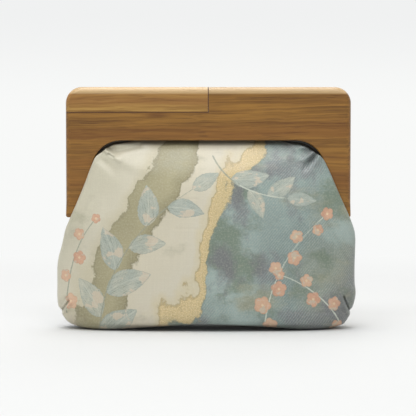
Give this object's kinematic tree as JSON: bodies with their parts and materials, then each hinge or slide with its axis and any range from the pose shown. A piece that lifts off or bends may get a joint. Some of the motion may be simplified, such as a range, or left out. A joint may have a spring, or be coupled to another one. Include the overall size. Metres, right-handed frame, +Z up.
{
  "type": "clutch bag",
  "caption": "Clutch bag: a printed cloth pouch with a lining hangs in a wooden frame whose halves interlock at the top, turn on hinges in the leg ends and shut by magnets",
  "frame": {"origin": "under the middle of the pouch's base, on the surface the bag stands on", "axes": "+X to the right as seen from the front, +Y to the back, +Z up; the front faces -Y"},
  "size_m": [0.2664, 0.064, 0.217],
  "materials": {
    "wood": "mid-brown timber, grain along X, satin oiled",
    "print_cloth": "printed plain-weave cotton, matt with a slight sheen",
    "lining_cloth": "plain cream cotton, matt",
    "brass": "satin brass",
    "steel": "nickel-plated steel"
  },
  "bodies": {
    "pouch": {"outer_front_panel": "print_cloth", "lining_front_panel": "lining_cloth", "outer_back_panel": "print_cloth", "lining_back_panel": "lining_cloth", "hinge_pin_left": "steel", "hinge_pin_right": "steel"},
    "front_half": {"front_frame": "wood", "hinge_leaf_front_left": "brass", "hinge_screw_front_left_lower": "steel", "hinge_screw_front_left_upper": "steel", "magnet_front_left": "steel", "hinge_leaf_front_right": "brass", "hinge_screw_front_right_lower": "steel", "hinge_screw_front_right_upper": "steel", "magnet_front_right": "steel"},
    "back_half": {"back_frame": "wood", "hinge_leaf_back_left": "brass", "hinge_screw_back_left_lower": "steel", "hinge_screw_back_left_upper": "steel", "magnet_back_left": "steel", "hinge_leaf_back_right": "brass", "hinge_screw_back_right_lower": "steel", "hinge_screw_back_right_upper": "steel", "magnet_back_right": "steel"}
  },
  "joints": [
    {"name": "front_hinge", "type": "hinge", "parent": "pouch", "child": "front_half", "pos_m": [0, 0, 0.1035], "axis": [1, 0, 0], "range_deg": [0, 40], "deforming": ["outer_front_panel", "lining_front_panel"]},
    {"name": "back_hinge", "type": "hinge", "parent": "pouch", "child": "back_half", "pos_m": [0, 0, 0.1035], "axis": [-1, 0, 0], "range_deg": [0, 40], "deforming": ["outer_back_panel", "lining_back_panel"]}
  ]
}
